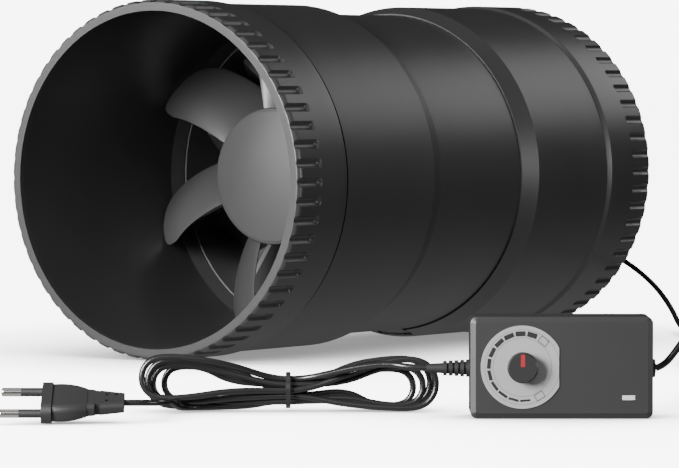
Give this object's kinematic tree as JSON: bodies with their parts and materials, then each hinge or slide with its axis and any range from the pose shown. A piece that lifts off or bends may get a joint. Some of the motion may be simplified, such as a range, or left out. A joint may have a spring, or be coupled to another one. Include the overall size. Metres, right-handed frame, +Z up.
{
  "type": "inline duct fan",
  "caption": "Inline duct fan with fluted collars, a bladed rotor, a low-voltage lead, a mains adapter with a speed dial, and a tied mains lead with a two-pin plug.",
  "frame": {"origin": "on the floor under the middle of the fan, which lies on its two collars", "axes": "+X along the fan's axis the way the air flows, +Z up"},
  "size_m": [0.853, 0.5581, 0.198],
  "materials": {
    "casing_black": "moulded black plastic, satin",
    "collar_black": "moulded black plastic, satin, fluted",
    "impeller_grey": "moulded dark grey plastic, satin",
    "mount_grey": "moulded dark grey plastic, satin",
    "adapter_black": "moulded black plastic with fine spark texture",
    "dial_silver": "light silver plate with a fine turned grain",
    "print_black": "black print",
    "pointer_red": "red insert",
    "seal_rubber": "black rubber",
    "lead_black": "black flexible sheath",
    "nickel": "nickel plated brass",
    "steel": "bright steel",
    "lamination": "stacked laminations",
    "copper": "enamelled copper",
    "magnet": "bonded ferrite",
    "board": "green circuit board",
    "component": "moulded component",
    "aluminium": "plain aluminium",
    "led_white": "frosted white lens"
  },
  "bodies": {
    "housing": {"inlet_collar": "collar_black", "outlet_collar": "collar_black", "front_casing": "casing_black", "rear_casing": "casing_black", "casing_latches": "casing_black", "casing_seal": "seal_rubber", "cable_gland": "casing_black", "gland_relief": "lead_black", "motor_cup": "mount_grey", "vane_ring": "mount_grey", "guide_vanes": "mount_grey", "tail_cover": "mount_grey", "front_bearing": "steel", "rear_bearing": "steel", "stator_core": "lamination", "stator_windings": "copper", "driver_board": "board", "driver_parts": "component", "internal_lead": "lead_black", "adapter_front_shell": "adapter_black", "adapter_rear_shell": "adapter_black", "adapter_screws": "steel", "dial_plate": "dial_silver", "dial_scale": "print_black", "potentiometer": "component", "adapter_board": "board", "transformer_core": "lamination", "transformer_winding": "copper", "adapter_capacitors": "component", "heat_sink": "aluminium", "status_led": "led_white", "led_window": "led_white", "mains_relief": "lead_black", "dc_relief": "lead_black", "dc_lead": "lead_black", "mains_lead": "lead_black", "mains_hank": "lead_black", "hank_tie": "lead_black", "plug_lead": "lead_black", "plug_relief": "lead_black", "plug_body": "lead_black", "plug_pins": "nickel", "pin_sleeves": "lead_black"},
    "rotor": {"impeller": "impeller_grey", "hub_cap": "impeller_grey", "rotor_cup": "steel", "rotor_magnets": "magnet", "rotor_bush": "aluminium", "motor_shaft": "steel", "shaft_clip": "steel"},
    "knob": {"speed_knob": "adapter_black", "knob_pointer": "pointer_red", "knob_shaft": "component"}
  },
  "joints": [
    {"name": "rotor_spin", "type": "hinge", "parent": "housing", "child": "rotor", "pos_m": [0, 0, 0.099], "axis": [1, 0, 0], "continuous": true},
    {"name": "speed_dial", "type": "hinge", "parent": "housing", "child": "knob", "pos_m": [-0.41016, -0.38586, 0.02355], "axis": [0.82, 0.5724, 0], "range_deg": [-195, 25]}
  ]
}
